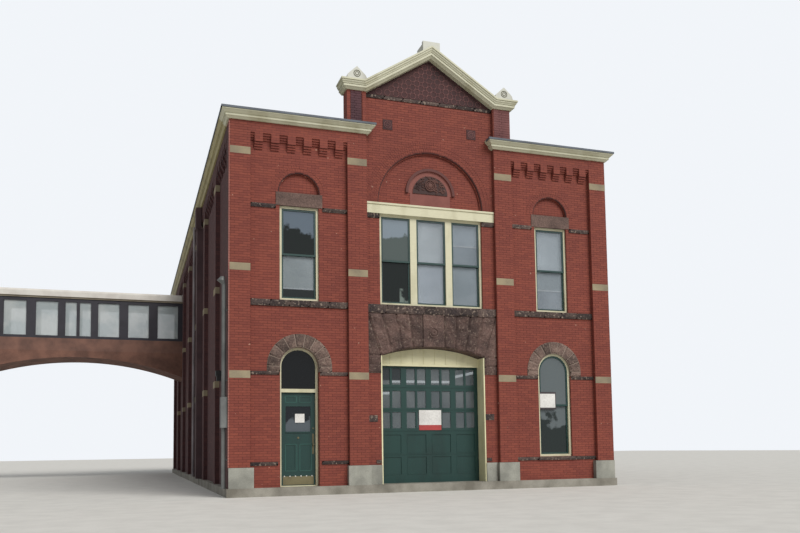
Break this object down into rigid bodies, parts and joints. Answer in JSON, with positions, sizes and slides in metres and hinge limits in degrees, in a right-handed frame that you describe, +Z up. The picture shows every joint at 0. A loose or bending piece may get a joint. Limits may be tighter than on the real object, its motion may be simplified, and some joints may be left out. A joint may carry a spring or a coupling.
{
  "type": "fire station building",
  "caption": "Two-storey brick fire station with a gabled front, apparatus door, hinged front door, corbelled cornices and a glazed arched footbridge on its left side.",
  "frame": {"origin": "on the underside of the foundation, below the middle of the front, in the plane of the pilaster faces", "axes": "+X to the right along the front, +Y into the building's depth, +Z up"},
  "size_m": [20.8, 26.18, 12.5499],
  "materials": {
    "brick": "matt red brick",
    "brownstone": "rough brown sandstone",
    "limestone": "smooth tan stone",
    "granite": "dressed grey granite",
    "terracotta": "unglazed dark terracotta",
    "concrete": "cast concrete",
    "cream_paint": "cream oil paint",
    "green_paint": "dark green gloss paint",
    "floor_timber": "plain boards",
    "bridge_render": "brown painted render",
    "bridge_cladding": "dark painted panels",
    "bridge_trim": "off-white painted metal",
    "roofing": "dark roofing sheet",
    "dark_metal": "dark painted metal",
    "grey_metal": "galvanised grey",
    "brass_fittings": "worn brass",
    "glazing": "clear window glass"
  },
  "bodies": {
    "building": {"acroteria": "cream_paint", "arch_rings": "brownstone", "band_stones": "limestone", "base_stones": "granite", "cornice_rear": "cream_paint", "cornices_front": "cream_paint", "cornices_side": "cream_paint", "door_frame": "cream_paint", "footbridge_deck": "bridge_render", "footbridge_glass": "glazing", "footbridge_roof": "bridge_trim", "footbridge_walls": "bridge_cladding", "foundation": "concrete", "front_piers_lower": "brick", "front_piers_upper": "brick", "front_spandrels": "brick", "front_wall_tops": "brick", "front_window_apron": "brick", "gable_wall": "brick", "garage_door": "green_paint", "garage_frame": "cream_paint", "garage_glass": "glazing", "garage_lintel": "brownstone", "ground_floor": "concrete", "lintel_and_sill_blocks": "brownstone", "lunette": "terracotta", "name_lintel": "cream_paint", "rainwater_pipe": "grey_metal", "raking_cornice": "cream_paint", "rear_wall": "brick", "rear_window_frames": "cream_paint", "roof_deck": "roofing", "service_mast": "grey_metal", "side_lamp": "dark_metal", "side_wall_left": "brick", "side_wall_right": "brick", "string_courses": "brownstone", "terracotta_plaques": "terracotta", "tympanum_panel": "terracotta", "upper_floor": "floor_timber", "wall_trunk": "dark_metal", "window_frames": "cream_paint", "window_glass": "glazing", "window_sashes": "green_paint"},
    "front_door": {"entry_door": "green_paint", "door_glass": "glazing", "door_hardware": "brass_fittings"}
  },
  "joints": [
    {"name": "front_door_hinge", "type": "hinge", "parent": "building", "child": "front_door", "pos_m": [-4.184, 0.419, 0.253], "axis": [0, 0, 1], "range_deg": [0, 95]}
  ]
}
